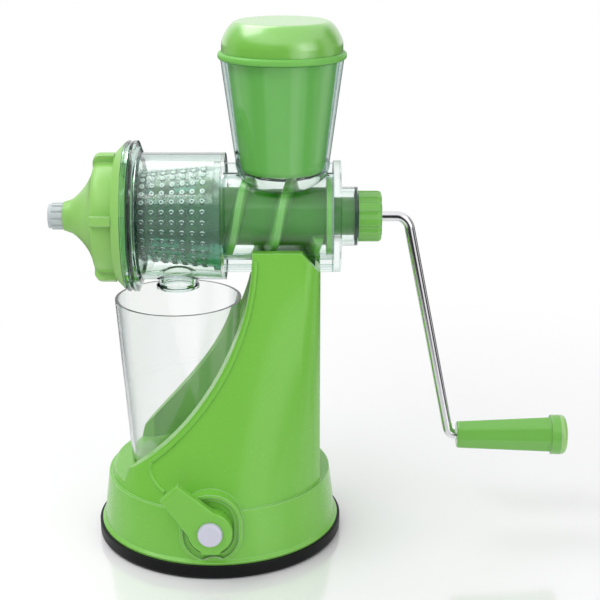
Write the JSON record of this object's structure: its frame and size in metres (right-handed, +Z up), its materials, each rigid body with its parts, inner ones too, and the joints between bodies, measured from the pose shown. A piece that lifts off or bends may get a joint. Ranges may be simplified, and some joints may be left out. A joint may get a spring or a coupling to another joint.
{
  "type": "manual wheatgrass juicer",
  "caption": "Hand-cranked kitchen juicer with screw auger, clear hopper and strainer drum on a suction-base stand, with catch glass and pusher.",
  "frame": {"origin": "centre of the suction foot's flat underside, on the table", "axes": "+Z up; +X along the screw axis towards the crank; the user stands on the -Y side"},
  "size_m": [0.2918, 0.1451, 0.2931],
  "materials": {
    "green_plastic": "gloss",
    "dark_green_plastic": "satin",
    "clear_plastic": "gloss",
    "clear_glass": "gloss",
    "black_rubber": "matte",
    "white_plastic": "satin",
    "chrome": "polished",
    "steel": "brushed"
  },
  "bodies": {
    "stand": {"suction_cup": "black_rubber", "stand_body": "green_plastic", "base_plate": "green_plastic", "base_screws": "steel", "juicer_housing": "clear_plastic", "saddle_screws": "steel", "strainer": "clear_plastic", "strainer_gasket": "black_rubber", "thrust_washer": "white_plastic", "shaft_seal": "black_rubber"},
    "lever": {"suction_lever": "green_plastic", "cam_shaft": "steel", "lever_screw": "steel", "lever_button": "white_plastic"},
    "post": {"cup_post": "white_plastic"},
    "crank": {"auger": "dark_green_plastic", "shaft_insert": "steel", "drive_nut": "green_plastic", "crank_rod": "chrome", "grip_clip": "steel"},
    "hand_grip": {"grip": "green_plastic", "grip_cap": "green_plastic"},
    "pusher": {"pusher_body": "green_plastic", "pusher_lid": "green_plastic"},
    "catch_glass": {"glass": "clear_glass"},
    "cap": {"end_cap": "green_plastic"},
    "nut": {"pulp_nut": "white_plastic"}
  },
  "joints": [
    {"name": "lever_turn", "type": "hinge", "parent": "stand", "child": "lever", "pos_m": [-0.0015, 0, 0.0285], "axis": [0, 1, 0], "range_deg": [0, 90]},
    {"name": "cup_lift", "type": "slide", "parent": "stand", "child": "post", "axis": [0, 0, 1], "range_m": [0, 0.00425]},
    {"name": "crank_turn", "type": "hinge", "parent": "stand", "child": "crank", "pos_m": [0, 0, 0.1864], "axis": [1, 0, 0], "continuous": true},
    {"name": "grip_spin", "type": "hinge", "parent": "crank", "child": "hand_grip", "pos_m": [0.1372, 0, 0.0564], "axis": [1, 0, 0], "continuous": true},
    {"name": "pusher_lift", "type": "slide", "parent": "stand", "child": "pusher", "axis": [0, 0, 1], "range_m": [0, 0.07]},
    {"name": "glass_slide", "type": "slide", "parent": "stand", "child": "catch_glass", "axis": [-1, 0, 0], "range_m": [0, 0.09]},
    {"name": "cap_turn", "type": "hinge", "parent": "stand", "child": "cap", "pos_m": [-0.0485, 0, 0.1864], "axis": [1, 0, 0], "range_deg": [0, 45]},
    {"name": "nut_turn", "type": "hinge", "parent": "cap", "child": "nut", "pos_m": [-0.0834, 0, 0.1864], "axis": [1, 0, 0], "range_deg": [0, 360]}
  ],
  "couplings": [
    {"joint": "cup_lift", "follows": "lever_turn", "m_per_rad": 0.002701}
  ]
}
